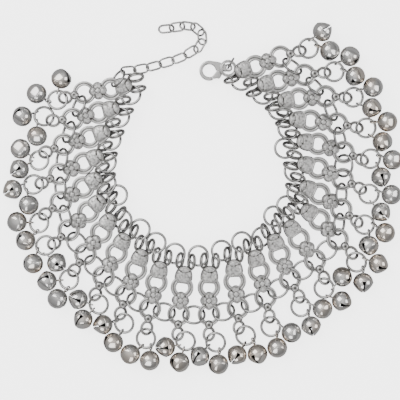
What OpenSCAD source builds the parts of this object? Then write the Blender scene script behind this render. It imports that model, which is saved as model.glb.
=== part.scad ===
// Bell anklet, lying flat and unfastened, seen from above with its open side to the back.
// Each strand runs outward from the ankle: shield link, flower link, bead link, end ring, drop ring, two bells.
// Two rows of wire rings hold the strands side by side. A sprung clasp and an extender chain close it.

/* [Stamped links] */
// Thickness of a folded link's two leaves together
link_t = 0.8; // [0.6:0.05:0.8]
// Outer diameter of the flat rings of the flower and bead links
flat_ring_d = 9.0; // [8.6:0.1:9.0]
// Hole in the flower link's ring
flower_hole_d = 4.6; // [4.4:0.1:4.8]
// Hole in the bead link's ring
bead_hole_d = 5.5; // [5.4:0.1:5.6]
// Outer diameter of the end ring
end_ring_d = 6.1; // [5.6:0.1:6.2]
// Hole in the end ring
end_hole_d = 3.7; // [3.7:0.1:4.0]
// Outer diameter of the two splayed leaf rings at the inner end
leaf_ring_d = 6.8; // [6.6:0.1:6.8]
// Hole in a leaf ring
leaf_hole_d = 4.4; // [4.2:0.1:4.4]
// Thickness of one leaf
leaf_t = 0.45; // [0.35:0.05:0.45]
// Lean of the leaf rings away from flat, like an open book
leaf_splay = 74; // [70:1:76]
// Thickness of the shield and flower bodies at their crown
body_t = 1.9; // [1.6:0.1:2.0]
// Diameter of the bead body
bead_d = 3.5; // [3.4:0.1:3.5]

/* [Wire rings] */
// Wire of the rings that join the strands and carry the bells
ring_wire = 0.78; // [0.7:0.02:0.8]
// Middle diameter of a ring in the outer row
outer_row_d = 8.3; // [8.2:0.05:8.3]
// Tilt of an outer row ring, which passes over one rim edge and under the other
outer_row_tilt = 40; // [38:1:42]
// Middle diameter of a ring in the inner row
inner_row_d = 7.6; // [7.4:0.1:7.7]
// Roll of an inner row ring, so that neighbours lie like shingles
inner_row_roll = 9; // [8:1:10]
// Lean of an inner row ring between two strands that are well out of step
inner_row_lean = 24; // [22:1:28]
// Middle diameter of a drop ring
drop_ring_d = 7.4; // [7.2:0.1:7.6]

/* [Bells] */
// Outer diameter of a bell's shell
bell_d = 7.8; // [7.4:0.1:7.8]
// Sheet thickness of the shell
bell_wall = 0.45; // [0.35:0.05:0.6]
// How far the rolled seam stands proud of the shell
seam_lip = 0.12; // [0.08:0.02:0.12]
// Width of the slit across the mouth
slit_w = 0.55; // [0.4:0.05:0.7]
// Distance from the bell's middle to the middle of its loop
bell_reach = 5.4; // [5.3:0.05:5.4]
// Diameter of the loose pellet inside
pellet_d = 2.2; // [1.8:0.1:2.4]

/* [Clasp and extender] */
// Thickness of the clasp
clasp_t = 2.6; // [2.4:0.1:3.0]
// Outer diameter of the clasp's hook
hook_d = 7.6; // [7.4:0.1:7.8]
// Opening inside the hook
hook_hole_d = 5.2; // [5.0:0.1:5.4]
// Length of one extender link
ext_link_l = 6.5; // [6.4:0.1:6.6]
// Width of one extender link
ext_link_w = 4.2; // [4.1:0.1:4.4]
// Wire of the extender links
ext_wire = 0.55; // [0.5:0.05:0.6]
// Middle diameter of the ring that carries the extender
end_jump_d = 7.2; // [7.1:0.1:7.4]

/* [Hidden] */
$fn = 48;

// Distances along a strand, from hole to hole
shield_l = 10.4;
flower_l = 10.5;
bead_l = 7.7;

// Heights of the hole middles above the surface that the anklet lies on
bell_z = bell_d / 2 + seam_lip;
leaf_z = 3.7;
flower_z = 3.4;
bead_z = 3.15;
end_z = 2.7;
drop_z = 2.4;
end_roll = -35;
drop_roll = 14;
loop_wire = 0.5;
loop_d = 2.44;
shank_d = 0.4;
cheek_turn = 46;
cheek_r = 7.5;
cheek_at = bell_d / 2 * 0.88;
leaf_off = 2.3;
// The last strand's free leaf lies flatter, over the clasp's eye
last_leaf_splay = 4;

// Columns of the strands table, in mm and degrees:
// BX, BY: hole of the flower link's ring. SHIELD, FLOWER, BEAD: the way each link points.
// GX, GY: about the middle of the drop ring. UX, UY, VX, VY: about the middles of the two bells.
// UP, VP: which way round the drop ring each bell hangs. US, VS: turn of each bell about its own axis.
BX = 0; BY = 1; SHIELD = 2; FLOWER = 3; BEAD = 4; GX = 5; GY = 6;
UX = 7; UY = 8; UP = 9; US = 10; VX = 11; VY = 12; VP = 13; VS = 14;
strands = [
  [-34.7,  42.9, -168, -172, -166, -55.0,  38.0, -54.0,  47.0,  1,  60, -62.0,  40.5,  1,  90],
  [-39.5,  33.7, -166, -166, -176, -60.5,  31.0, -67.0,  32.0, -1,  40, -63.5,  24.0, -1,  90],
  [-43.0,  24.1, -161, -164, -158, -61.0,  14.5, -66.5,  18.0, -1,  90, -69.0,  10.5, -1,   0],
  [-45.3,  14.0, -154, -156, -153, -65.0,   5.0, -74.0,   4.5, -1,   0, -66.5,  -2.0, -1,  60],
  [-45.5,   4.5, -147, -147, -143, -61.0,  -9.0, -69.0,  -9.5,  1,  70, -64.0, -17.5,  1,  40],
  [-43.5,  -5.0, -136, -137, -138, -57.0, -20.5, -65.0, -25.5, -1,  60, -57.0, -27.5, -1,   0],
  [-38.5, -13.0, -124, -126, -125, -51.5, -31.5, -60.0, -33.0, -1,  30, -53.0, -39.0,  1,  90],
  [-32.5, -21.0, -117, -119, -115, -41.5, -41.5, -46.5, -43.0,  1,   0, -44.5, -50.0,  1,  20],
  [-25.0, -27.5, -110, -112, -106, -32.0, -48.5, -37.0, -51.5, -1,   0, -33.5, -58.5,  1,  60],
  [-17.0, -32.5, -103, -104,  -99, -21.5, -55.0, -26.0, -62.0,  1,  90, -17.5, -64.0,  1,  80],
  [ -7.0, -34.5,  -98,  -97,  -93,  -9.0, -57.0, -11.5, -60.5,  1,   0,  -6.0, -66.5,  1,  50],
  [  3.5, -34.5,  -92,  -90,  -90,   5.0, -57.5,   0.5, -61.0, -1,  20,   6.5, -66.5,  1,  60],
  [ 13.5, -32.0,  -87,  -83,  -87,  17.0, -54.5,  14.0, -62.0,  1,   0,  22.0, -63.0,  1,  30],
  [ 23.0, -28.0,  -76,  -76,  -78,  28.0, -50.0,  35.0, -52.5,  1,  60,  29.0, -59.0,  1,  80],
  [ 31.0, -21.5,  -70,  -67,  -62,  39.5, -42.0,  47.0, -42.5,  1,  90,  43.0, -50.5,  1,  10],
  [ 38.5, -15.5,  -56,  -53,  -62,  50.0, -33.5,  56.0, -29.0, -1,  40,  55.5, -40.0, -1,  20],
  [ 46.5,  -8.0,  -36,  -47,  -44,  60.0, -22.0,  67.0, -23.0,  1,  20,  63.0, -32.0,  1,   0],
  [ 46.5,   2.0,  -25,  -35,  -38,  64.0,  -9.5,  72.5, -13.5,  1,  80,  64.0, -15.5,  1,  40],
  [ 46.0,  12.0,  -17,  -24,  -27,  65.0,   2.0,  74.0,   1.0,  1,  90,  69.0,  -6.0, -1,  10],
  [ 46.0,  21.5,   -9,  -18,  -22,  65.0,  14.5,  73.5,  14.5,  1,  90,  69.0,   8.0,  1,   0],
  [ 43.0,  30.5,   -5,   -6,  -11,  63.0,  27.0,  72.0,  29.0,  1,  90,  68.5,  21.5, -1,  50],
  [ 38.5,  39.1,    7,    5,   -3,  60.0,  39.5,  67.5,  43.5,  1,  90,  66.0,  35.5, -1,  20],
  [ 30.5,  46.0,   14,   13,    7,  52.0,  49.0,  58.5,  55.5,  1,  50,  60.0,  47.5,  1,  40],
  [ 21.6,  51.7,   17,   21,   17,  42.5,  58.5,  48.0,  65.5,  1,   0,  51.0,  57.5,  1,  60],
];
n_strands = len(strands);

// Columns of the extender table: middle of each link, the way it points and its height
EX = 0; EY = 1; EA = 2; EZ = 3;
extender = [
  [-27.9, 50.1,   6, 3.3],
  [-23.0, 50.8,  12, 2.1],
  [-18.0, 52.0,  16, 1.5],
  [-13.05, 53.5,  17, 1.2],
  [ -8.1, 55.1,  22, 1.17],
  [ -3.5, 57.6,  32, 1.17],
  [ -0.2, 60.0,  60, 1.17],
  [  0.9, 63.3,  95, 1.17],
  [ -1.0, 66.4, 140, 1.17],
  [ -4.9, 67.7, 172, 1.17],
  [ -9.0, 67.3, 188, 1.17],
  [-13.2, 66.6, 186, 1.17],
];
ext_roll = 28;
function ext_height(k) = k < 0 ? 4.2 : extender[min(k, len(extender) - 1)][EZ];

// The jump ring that carries the extender, looped through the first flower ring
end_jump = [-31.9, 46.9, 4.0];
end_jump_wire = 0.9;
end_jump_roll = 60;

// The clasp, its eye and its pivot, in the clasp's own frame with x toward the eye
clasp_at = [3.6, 50.2, 1.5];
clasp_aim = 8;
eye = [7.6, 0.1];
eye_hole_d = 1.7;
eye_t = 0.8;
pivot = [5.0, 0.2];
pin_d = 0.8;
pin_gap = 0.05;
slot_t = 1.3;
clasp_ring_d = 4.5;
clasp_ring_wire = 0.7;
clasp_ring_turn = 60;

// Middle of the whole anklet in the tables' own coordinates, which is put over the origin
middle = [1.05, 0.78];

function aim(a) = [cos(a), sin(a)];
function mid(a, b) = (a + b) / 2;
function bearing(a, b) = atan2(b[1] - a[1], b[0] - a[0]);
function at_height(p, z) = [p[0], p[1], z];
function unit(v) = v / norm(v);

function flower_hole(i) = [strands[i][BX], strands[i][BY]];
function leaf_hole(i) = flower_hole(i) - shield_l * aim(strands[i][SHIELD]);
function bead_hole(i) = flower_hole(i) + flower_l * aim(strands[i][FLOWER]);
function end_hole(i) = bead_hole(i) + bead_l * aim(strands[i][BEAD]);
function leaf_middle(i, side) = leaf_hole(i) + side * leaf_off * aim(strands[i][SHIELD] + 90);

// The drop rings and bells lie where the table has them, eased apart until none bites into another:
// each pair of middles within two strands is pushed toward the distances that it may have
end_holes = [for (i = [0:n_strands - 1]) end_hole(i)];
bead_holes = [for (i = [0:n_strands - 1]) bead_hole(i)];
far = 99;
own_ring = [8.3, 8.42];
other_ring = 8.05;
bells_apart = 8.12;
own_end = [2.6, 4.1];
function push(p, o, least, most) =
  let (d = p - o, r = norm(d)) d / r * (min(max(r, least), most) - r);
function total(v, k = 0) = k < len(v) ? v[k] + total(v, k + 1) : [0, 0];
function near(i) = [for (j = [max(0, i - 2):min(n_strands - 1, i + 2)]) j];
function eased_ring(st, i) =
  let (p = st[i][0])
  p + total([for (j = near(i)) j == i
    ? push(p, end_holes[j], own_end[0], own_end[1]) + push(p, bead_holes[j], 10.9, far)
      + (push(p, st[j][1], own_ring[0], own_ring[1]) + push(p, st[j][2], own_ring[0], own_ring[1])) / 2
    : push(p, end_holes[j], 7.3, far) + push(p, bead_holes[j], 8.6, far) + (push(p, st[j][0], 8.3, far)
      + push(p, st[j][1], other_ring, far) + push(p, st[j][2], other_ring, far)) / 2]) / 2;
function eased_bell(st, i, k) =
  let (p = st[i][k])
  p + total([for (j = near(i)) push(p, end_holes[j], 6.95, far) + push(p, bead_holes[j], 8.6, far)
    + (j == i ? push(p, st[j][0], own_ring[0], own_ring[1]) : push(p, st[j][0], other_ring, far)) / 2
    + (j == i ? push(p, st[j][3 - k], bells_apart, far)
      : push(p, st[j][1], bells_apart, far) + push(p, st[j][2], bells_apart, far)) / 2]) / 2;
function eased(st, n) = n == 0 ? st
  : eased([for (i = [0:n_strands - 1]) [eased_ring(st, i), eased_bell(st, i, 1), eased_bell(st, i, 2)]], n - 1);
lying = eased([for (r = strands) [[r[GX], r[GY]], [r[UX], r[UY]], [r[VX], r[VY]]]], 120);
function drop_middle(i) = lying[i][0];
function bell_middle(i, col) = lying[i][col == UX ? 1 : 2];
function drop_axis(i) = bearing(end_hole(i), drop_middle(i));

// A point on a drop ring and the wire's direction there, at turn a from the ring's own axis
function drop_point(i, a) = at_height(drop_middle(i), drop_z)
  + drop_ring_d / 2 * (cos(a) * at_height(aim(drop_axis(i)), 0)
  + sin(a) * at_height(cos(drop_roll) * aim(drop_axis(i) + 90), sin(drop_roll)));
function drop_wire(i, a) = -sin(a) * at_height(aim(drop_axis(i)), 0)
  + cos(a) * at_height(cos(drop_roll) * aim(drop_axis(i) + 90), sin(drop_roll));

// Where a bell's loop hangs on the drop ring: the turn at which the wire is bell_reach from the bell's middle,
// found from a first guess in a few corrections
function hung(i, m, a, n) = n == 0 ? a
  : let (v = drop_point(i, a) - m, slope = v * drop_wire(i, a) * drop_ring_d / 2 / norm(v),
      step = (norm(v) - bell_reach) / (sign(slope) * max(0.5, abs(slope))) * 57.3)
    hung(i, m, a - max(-8, min(8, step)), n - 1);
function hang_turn(i, m, way) =
  hung(i, at_height(m, bell_z), bearing(drop_middle(i), m) - drop_axis(i) + 45 * way, 14);
function bell_turn(i, col) = hang_turn(i, bell_middle(i, col), strands[i][col + 2]);
function bell_aim(i, col) = unit(at_height(bell_middle(i, col), bell_z) - drop_point(i, bell_turn(i, col)));
function bell_at(i, col) = drop_point(i, bell_turn(i, col)) + bell_reach * bell_aim(i, col);
// Turn of the loop about the bell's axis, so that the ring's wire runs straight through it
function loop_turn(i, col) =
  let (n = bell_aim(i, col), t = drop_wire(i, bell_turn(i, col)), side = unit([-n[1], n[0], 0]))
  atan2(-t * side, t * cross(n, side));

module flat_ring(od, id, t) {
  // A small bevel on all four edges
  b = min(0.12, t / 6);
  rotate([0, 0, 90]) rotate_extrude()
    polygon([
      [id / 2, -t / 2 + b], [id / 2 + b, -t / 2], [od / 2 - b, -t / 2], [od / 2, -t / 2 + b],
      [od / 2, t / 2 - b], [od / 2 - b, t / 2], [id / 2 + b, t / 2], [id / 2, t / 2 - b],
    ]);
}

module wire_ring(d, wire) {
  rotate_extrude() translate([d / 2, 0]) circle(d = wire);
}

// A stamped body, thick along its middle line and thinner toward its sides
module crowned(t, crown_r) {
  intersection() {
    translate([0, 0, -t / 2]) linear_extrude(t) children();
    translate([-2, 0, t / 2 - crown_r]) rotate([0, 90, 0]) cylinder(r = crown_r, h = 16);
    translate([14, 0, crown_r - t / 2]) rotate([0, -90, 0]) cylinder(r = crown_r, h = 16);
  }
}

module shield_outline() {
  difference() {
    polygon([
      [2.0, -1.3], [2.3, -2.2], [3.0, -2.8], [4.6, -3.2], [7.0, -3.5], [7.6, -3.2], [8.8, -1.9],
      [8.8, 1.9], [7.6, 3.2], [7.0, 3.5], [4.6, 3.2], [3.0, 2.8], [2.3, 2.2], [2.0, 1.3],
    ]);
    translate([shield_l, 0]) circle(d = flower_hole_d - 0.4);
  }
}

module shield_link(splay) {
  color("silver") {
    for (s = [-1, 1])
      translate([0, s * leaf_off, 0]) rotate([s > 0 ? splay : -leaf_splay, 0, 0])
        flat_ring(leaf_ring_d, leaf_hole_d, leaf_t);
    crowned(body_t, 10) shield_outline();
  }
}

module flower_outline() {
  translate([5.1, 0]) circle(d = 5.4);
  translate([2.9, 0]) circle(d = 2.4);
  translate([7.1, 0]) circle(d = 3.0);
  polygon([[3.2, 0], [4.6, 3.4], [5.3, 3.6], [6.6, 2.2], [7.2, 0], [6.6, -2.2], [5.3, -3.6], [4.6, -3.4]]);
}

module flower_link() {
  color("silver") {
    flat_ring(flat_ring_d, flower_hole_d, link_t);
    crowned(body_t, 10) flower_outline();
  }
}

module bead_link() {
  color("silver") {
    flat_ring(flat_ring_d, bead_hole_d, link_t);
    translate([bead_l - end_hole_d / 2 - bead_d / 2 - 0.15, 0, 0]) rotate([90, 0, 0]) rotate([0, 0, 90])
      sphere(d = bead_d);
  }
}

module end_ring() {
  color("silver") flat_ring(end_ring_d, end_hole_d, link_t);
}

// Stands a link at p, pointing along a and sloping from height z0 to z1 over its length
module place(p, a, z0, z1, l, roll = 0) {
  translate([p[0], p[1], z0]) rotate([0, 0, a]) rotate([0, -asin((z1 - z0) / l), 0]) rotate([roll, 0, 0]) children();
}

module strand(i) {
  place(leaf_hole(i), strands[i][SHIELD], leaf_z, flower_z, shield_l)
    shield_link(i < n_strands - 1 ? leaf_splay : last_leaf_splay);
  place(flower_hole(i), strands[i][FLOWER], flower_z, bead_z, flower_l) flower_link();
  place(bead_hole(i), strands[i][BEAD], bead_z, end_z, bead_l) bead_link();
  place(end_hole(i), strands[i][BEAD], end_z, end_z, 1, end_roll) end_ring();
}

// A sphere turned so that its poles and its seam lie clear of a bell's slit, lip and loop
module ball(r) {
  rotate([0, 0, 45]) rotate([0, 90, 0]) rotate([0, 0, 60]) sphere(r = r);
}

// The solid inside a bell's outline: a ball whose two cheeks are pressed flatter beside the slit
module bell_form(inset) {
  intersection() {
    ball(bell_d / 2 - inset);
    rotate([0, 0, cheek_turn]) translate([cheek_at - cheek_r, 0, 0]) rotate([0, 0, 170]) sphere(r = cheek_r - inset);
    rotate([0, 0, -cheek_turn]) translate([cheek_at - cheek_r, 0, 0]) rotate([0, 0, 190]) sphere(r = cheek_r - inset);
  }
}

// A bell with its mouth toward +x, its slit upright and its loop on the far side
module bell(turn) {
  r = bell_d / 2;
  color("gainsboro") difference() {
    union() {
      bell_form(0);
      translate([-0.2, 0, 0]) rotate([0, 90, 0]) cylinder(r = r + seam_lip, h = 0.4);
      rotate([turn, 0, 0]) {
        translate([-bell_reach, 0, 0]) rotate([0, 0, 100]) wire_ring(loop_d, loop_wire);
        translate([-bell_reach + loop_d / 2, 0, 0]) rotate([0, 90, 0])
          cylinder(d = shank_d, h = bell_reach - loop_d / 2 - r + bell_wall / 2);
      }
    }
    bell_form(bell_wall);
    translate([1.6, -slit_w / 2, -r - 1]) cube([r, slit_w, 2 * r + 2]);
    translate([0, 0, -r - 1]) linear_extrude(2 * r + 2)
      polygon([[0.5, -0.95], [2.1, -slit_w / 2 - 0.01], [2.1, slit_w / 2 + 0.01], [0.5, 0.95]]);
  }
}

module place_bell(i, col) {
  n = bell_aim(i, col);
  translate(bell_at(i, col)) rotate([0, 0, atan2(n[1], n[0])]) rotate([0, -asin(n[2]), 0])
    rotate([strands[i][col + 3], 0, 0]) bell(loop_turn(i, col) - strands[i][col + 3]);
}

module drop(i) {
  color("silver") place(drop_middle(i), drop_axis(i), drop_z, drop_z, 1, drop_roll)
    wire_ring(drop_ring_d, ring_wire);
  place_bell(i, UX);
  place_bell(i, VX);
}

module bell_pellets() {
  color("dimgray") for (i = [0:n_strands - 1], col = [UX, VX])
    translate(bell_at(i, col) - [0, 0, bell_d / 2 - bell_wall - pellet_d / 2 - 0.1]) sphere(d = pellet_d);
}

module outer_rings() {
  color("silver") for (i = [0:n_strands - 2])
    let (line = bearing(bead_hole(i), bead_hole(i + 1)),
      ahead = (bead_hole(i + 1) - bead_hole(i)) * aim((strands[i][BEAD] + strands[i + 1][BEAD]) / 2),
      steep = abs(ahead) > 4.5)
      translate(at_height(mid(bead_hole(i), bead_hole(i + 1)), bead_z + (steep ? 0.5 : 0)))
        rotate([0, 0, line]) rotate([steep ? outer_row_tilt + 16 : -outer_row_tilt - 2, 0, 0])
          translate([0, steep ? 0.5 : -0.25, 0]) wire_ring(outer_row_d, ring_wire);
}

module inner_rings() {
  color("silver") for (i = [0:n_strands - 2]) {
    // The ring takes the near leaf of each neighbour. Where one strand stands well ahead of the other it
    // leans along the line between the two leaves, and otherwise it lies inward of them, outside their rims.
    turn = (strands[i][SHIELD] + strands[i + 1][SHIELD]) / 2;
    roll = i < n_strands / 2 - 1 ? inner_row_roll : -inner_row_roll;
    gap = leaf_middle(i + 1, -1) - leaf_middle(i, 1);
    ahead = gap * aim(turn);
    reach = sqrt(pow(inner_row_d / 2, 2) - pow(cross(aim(turn), gap) / 2, 2));
    out = max(0, min(0.8, 1.4 - abs(ahead) / 2)) - reach;
    if (abs(ahead) < 3.3)
      translate(at_height(mid(leaf_middle(i, 1), leaf_middle(i + 1, -1)) + out * aim(turn), leaf_z))
        rotate([0, 0, turn + 90]) rotate([0, -roll, 0]) wire_ring(inner_row_d, ring_wire);
    else
      translate(at_height(mid(leaf_middle(i, 1), leaf_middle(i + 1, -1)), leaf_z - 0.6))
        rotate([0, 0, bearing([0, 0], gap) + (sign(cross(gap, aim(turn))) < 0 ? 0 : 180)])
          rotate([inner_row_lean, 0, 0]) translate([0, 0.2, 0]) wire_ring(inner_row_d, ring_wire);
  }
}

module end_jump_ring() {
  color("silver") translate(end_jump) rotate([0, 0, bearing(end_jump, flower_hole(0))])
    rotate([end_jump_roll, 0, 0]) wire_ring(end_jump_d, end_jump_wire);
}

module extender_link() {
  bend_r = (ext_link_w - ext_wire) / 2;
  straight = ext_link_l - ext_link_w;
  for (s = [0, 180]) rotate([0, 0, s]) {
    translate([straight / 2, 0, 0]) rotate([0, 0, -90]) rotate_extrude(angle = 180)
      translate([bend_r, 0]) circle(d = ext_wire);
    translate([-straight / 2, bend_r, 0]) rotate([0, 90, 0]) cylinder(d = ext_wire, h = straight);
  }
}

module extender_chain() {
  color("silver") for (k = [0:len(extender) - 1])
    translate([extender[k][EX], extender[k][EY], extender[k][EZ]]) rotate([0, 0, extender[k][EA]])
      rotate([0, atan((ext_height(k - 1) - ext_height(k + 1)) / 9.6), 0])
        rotate([k % 2 == 0 ? -ext_roll : ext_roll, 0, 0]) extender_link();
}

module clasp_place() {
  translate(clasp_at) rotate([0, 0, clasp_aim]) children();
}

// The ring stands upright between the eye and the last leaf above it, and closes outside the leaf's rim
module clasp_ring() {
  from = clasp_at + [cos(clasp_aim) * eye[0] - sin(clasp_aim) * eye[1], sin(clasp_aim) * eye[0] + cos(clasp_aim) * eye[1], 0];
  half = clasp_ring_d / 2;
  color("silver") translate([from[0], from[1], (from[2] + leaf_z) / 2 + 0.1] + half * 0.82 * at_height(aim(clasp_ring_turn), 0))
    rotate([0, 0, clasp_ring_turn]) rotate([90, 0, 0]) wire_ring(clasp_ring_d, clasp_ring_wire);
}

// The clasp's flat outline: a round hook that tapers to the eye, open where the lever closes it
module clasp_outline() {
  difference() {
    union() {
      circle(d = hook_d);
      polygon([[0.5, 3.75], [3.9, 2.8], [6.8, 1.3], [6.8, -1.1], [4.6, -1.5], [2.5, 0], [0, 0]]);
    }
    circle(d = hook_hole_d);
    polygon([[0, 0], [1.1, -5], [6, -5], [6.6, -1.4], [4.2, -0.3]]);
  }
}

module clasp_body() {
  color("lightgray") clasp_place() difference() {
    union() {
      translate([0, 0, -clasp_t / 2]) linear_extrude(clasp_t) clasp_outline();
      translate([eye[0], eye[1], -eye_t / 2]) cylinder(d = eye_hole_d + 1.4, h = eye_t);
    }
    translate([2.2, -5, -slot_t / 2]) cube([4.0, 7.0, slot_t]);
    translate([pivot[0], pivot[1], -clasp_t]) cylinder(d = pin_d + 0.06, h = 2 * clasp_t);
    translate([eye[0], eye[1], -clasp_t]) cylinder(d = eye_hole_d, h = 2 * clasp_t);
  }
}

module clasp_lever() {
  arm_t = slot_t - 0.2;
  color("gainsboro") clasp_place() difference() {
    union() {
      translate([pivot[0], pivot[1], -arm_t / 2]) cylinder(r = 1.0, h = arm_t);
      translate([0, 0, -arm_t / 2]) linear_extrude(arm_t)
        polygon([[1.3, -2.2], [4.2, 0.8], [5.6, -0.6], [4.2, -2.9], [3.2, -3.6], [1.6, -3.2]]);
    }
    translate([pivot[0], pivot[1], -clasp_t]) cylinder(d = pin_d + 2 * pin_gap, h = 2 * clasp_t);
  }
}

module clasp_pin() {
  color("gray") clasp_place() translate([pivot[0], pivot[1], -clasp_t / 2]) cylinder(d = pin_d, h = clasp_t);
}

module centred() {
  translate([-middle[0], -middle[1], 0]) children();
}

function numbered(name, i) = str(name, i < 9 ? "_0" : "_", i + 1);

for (i = [0:n_strands - 1]) {
  centred() strand(i);
  centred() drop(i);
}
centred() bell_pellets();
centred() inner_rings();
centred() outer_rings();
centred() end_jump_ring();
centred() extender_chain();
centred() clasp_ring();
centred() clasp_body();
centred() clasp_lever();
centred() clasp_pin();
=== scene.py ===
"""Looks of a bell anklet: stamped silver links, wire rings, bells, a hook clasp and an extender chain."""

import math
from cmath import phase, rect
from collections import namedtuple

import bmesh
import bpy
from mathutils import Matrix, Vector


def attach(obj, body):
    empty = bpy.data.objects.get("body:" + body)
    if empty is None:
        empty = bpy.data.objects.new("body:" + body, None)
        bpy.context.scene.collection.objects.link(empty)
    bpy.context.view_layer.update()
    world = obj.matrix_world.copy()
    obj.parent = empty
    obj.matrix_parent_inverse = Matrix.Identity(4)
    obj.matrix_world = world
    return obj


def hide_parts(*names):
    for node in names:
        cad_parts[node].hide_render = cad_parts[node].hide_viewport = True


bl_info = {
    "name": "Bell Anklet",
    "version": (1, 0, 0),
    "blender": (4, 5, 0),
    "location": "View3D > Sidebar > Anklet",
    "description": "Builds the links, rings, bells and clasp of a fringe anklet around its frame",
    "category": "Object",
}

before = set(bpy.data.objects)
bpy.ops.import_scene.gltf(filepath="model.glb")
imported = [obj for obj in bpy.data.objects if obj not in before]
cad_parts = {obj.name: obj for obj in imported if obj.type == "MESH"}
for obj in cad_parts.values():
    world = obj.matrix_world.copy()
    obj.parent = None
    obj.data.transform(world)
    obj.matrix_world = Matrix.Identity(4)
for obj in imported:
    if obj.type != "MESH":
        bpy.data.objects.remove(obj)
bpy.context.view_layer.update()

MM = 0.001
ANKLET = "anklet"

# Places of the strands and of the extender, in mm and degrees, as in the part's own source.
# bx, by: hole of the flower link's ring. shield, flower, bead: the way each link points.
# gx, gy: about the middle of the drop ring. ux, uy, vx, vy: about the middles of the two bells.
# up, vp: which way round the drop ring each bell hangs. us, vs: turn of each bell about its own axis.
Strand = namedtuple("Strand", "bx by shield flower bead gx gy ux uy up us vx vy vp vs")
STRANDS = [Strand(*row) for row in (
    (-34.7, 42.9, -168, -172, -166, -55.0, 38.0, -54.0, 47.0, 1, 60, -62.0, 40.5, 1, 90),
    (-39.5, 33.7, -166, -166, -176, -60.5, 31.0, -67.0, 32.0, -1, 40, -63.5, 24.0, -1, 90),
    (-43.0, 24.1, -161, -164, -158, -61.0, 14.5, -66.5, 18.0, -1, 90, -69.0, 10.5, -1, 0),
    (-45.3, 14.0, -154, -156, -153, -65.0, 5.0, -74.0, 4.5, -1, 0, -66.5, -2.0, -1, 60),
    (-45.5, 4.5, -147, -147, -143, -61.0, -9.0, -69.0, -9.5, 1, 70, -64.0, -17.5, 1, 40),
    (-43.5, -5.0, -136, -137, -138, -57.0, -20.5, -65.0, -25.5, -1, 60, -57.0, -27.5, -1, 0),
    (-38.5, -13.0, -124, -126, -125, -51.5, -31.5, -60.0, -33.0, -1, 30, -53.0, -39.0, 1, 90),
    (-32.5, -21.0, -117, -119, -115, -41.5, -41.5, -46.5, -43.0, 1, 0, -44.5, -50.0, 1, 20),
    (-25.0, -27.5, -110, -112, -106, -32.0, -48.5, -37.0, -51.5, -1, 0, -33.5, -58.5, 1, 60),
    (-17.0, -32.5, -103, -104, -99, -21.5, -55.0, -26.0, -62.0, 1, 90, -17.5, -64.0, 1, 80),
    (-7.0, -34.5, -98, -97, -93, -9.0, -57.0, -11.5, -60.5, 1, 0, -6.0, -66.5, 1, 50),
    (3.5, -34.5, -92, -90, -90, 5.0, -57.5, 0.5, -61.0, -1, 20, 6.5, -66.5, 1, 60),
    (13.5, -32.0, -87, -83, -87, 17.0, -54.5, 14.0, -62.0, 1, 0, 22.0, -63.0, 1, 30),
    (23.0, -28.0, -76, -76, -78, 28.0, -50.0, 35.0, -52.5, 1, 60, 29.0, -59.0, 1, 80),
    (31.0, -21.5, -70, -67, -62, 39.5, -42.0, 47.0, -42.5, 1, 90, 43.0, -50.5, 1, 10),
    (38.5, -15.5, -56, -53, -62, 50.0, -33.5, 56.0, -29.0, -1, 40, 55.5, -40.0, -1, 20),
    (46.5, -8.0, -36, -47, -44, 60.0, -22.0, 67.0, -23.0, 1, 20, 63.0, -32.0, 1, 0),
    (46.5, 2.0, -25, -35, -38, 64.0, -9.5, 72.5, -13.5, 1, 80, 64.0, -15.5, 1, 40),
    (46.0, 12.0, -17, -24, -27, 65.0, 2.0, 74.0, 1.0, 1, 90, 69.0, -6.0, -1, 10),
    (46.0, 21.5, -9, -18, -22, 65.0, 14.5, 73.5, 14.5, 1, 90, 69.0, 8.0, 1, 0),
    (43.0, 30.5, -5, -6, -11, 63.0, 27.0, 72.0, 29.0, 1, 90, 68.5, 21.5, -1, 50),
    (38.5, 39.1, 7, 5, -3, 60.0, 39.5, 67.5, 43.5, 1, 90, 66.0, 35.5, -1, 20),
    (30.5, 46.0, 14, 13, 7, 52.0, 49.0, 58.5, 55.5, 1, 50, 60.0, 47.5, 1, 40),
    (21.6, 51.7, 17, 21, 17, 42.5, 58.5, 48.0, 65.5, 1, 0, 51.0, 57.5, 1, 60),
)]
COUNT = len(STRANDS)

# Middle of each extender link, the way it points and its height
ExtenderLink = namedtuple("ExtenderLink", "x y turn z")
EXTENDER = [ExtenderLink(*row) for row in (
    (-27.9, 50.1, 6, 3.3), (-23.0, 50.8, 12, 2.1), (-18.0, 52.0, 16, 1.5), (-13.05, 53.5, 17, 1.29),
    (-8.1, 55.1, 22, 1.28), (-3.5, 57.6, 32, 1.28), (-0.2, 60.0, 60, 1.28), (0.9, 63.3, 95, 1.28),
    (-1.0, 66.4, 140, 1.28), (-4.9, 67.7, 172, 1.28), (-9.0, 67.3, 188, 1.28), (-13.2, 66.6, 186, 1.28),
)]

# Middle of the whole anklet in the tables' own coordinates, which is put over the origin
MIDDLE = complex(1.05, 0.78)

# Sizes and heights of the frame, in mm and degrees
SHIELD_L, FLOWER_L, BEAD_L = 10.4, 10.5, 7.7
LEAF_Z, FLOWER_Z, BEAD_Z, END_Z, DROP_Z = 3.7, 3.4, 3.15, 2.7, 2.4
LEAF_OFF, LEAF_SPLAY, TWIN_SPLAY, LAST_LEAF_SPLAY = 2.3, 74, 59.2, 4
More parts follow.
